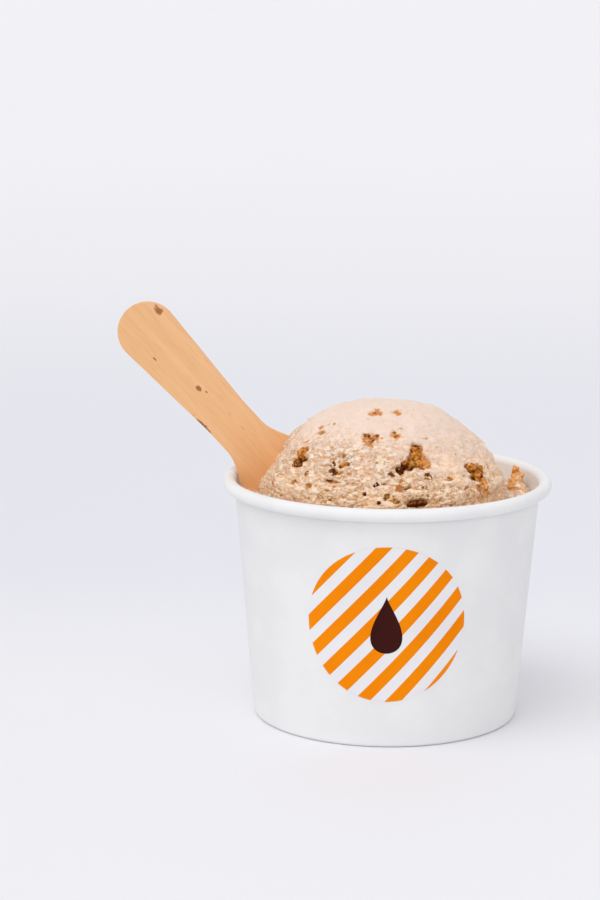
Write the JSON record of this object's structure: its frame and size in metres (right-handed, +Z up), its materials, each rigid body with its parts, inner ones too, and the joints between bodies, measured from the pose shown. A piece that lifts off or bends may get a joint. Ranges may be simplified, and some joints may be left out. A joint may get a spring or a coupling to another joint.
{
  "type": "gelato cup",
  "caption": "Domed scoop of caramel gelato filling a small round paper cup with a rolled rim and a striped round label, a flat wooden spoon leaning in it.",
  "frame": {"origin": "bottom centre of the whole object's box, on the table; the cup's axis is at x = 0.0121", "axes": "+Z up, +X to the right as the label is seen, -Y out of the label; the spoon leans to -X"},
  "size_m": [0.0992, 0.075, 0.0943],
  "materials": {
    "cup_paper": "smooth white coated cup board",
    "label_paper": "orange and white striped sticker, semi-matte",
    "birch": "bare sanded birch veneer",
    "gelato": "dense pale caramel gelato, soft and slightly moist",
    "caramel": "brittle brown caramel, glossy"
  },
  "bodies": {
    "root": {"cup_wall": "cup_paper", "cup_base": "cup_paper", "label": "label_paper", "spoon": "birch", "gelato": "gelato", "caramel_front": "caramel", "caramel_right": "caramel", "caramel_left": "caramel", "caramel_rim": "caramel", "caramel_side": "caramel", "caramel_back_low": "caramel", "caramel_back_high": "caramel"}
  },
  "joints": []
}
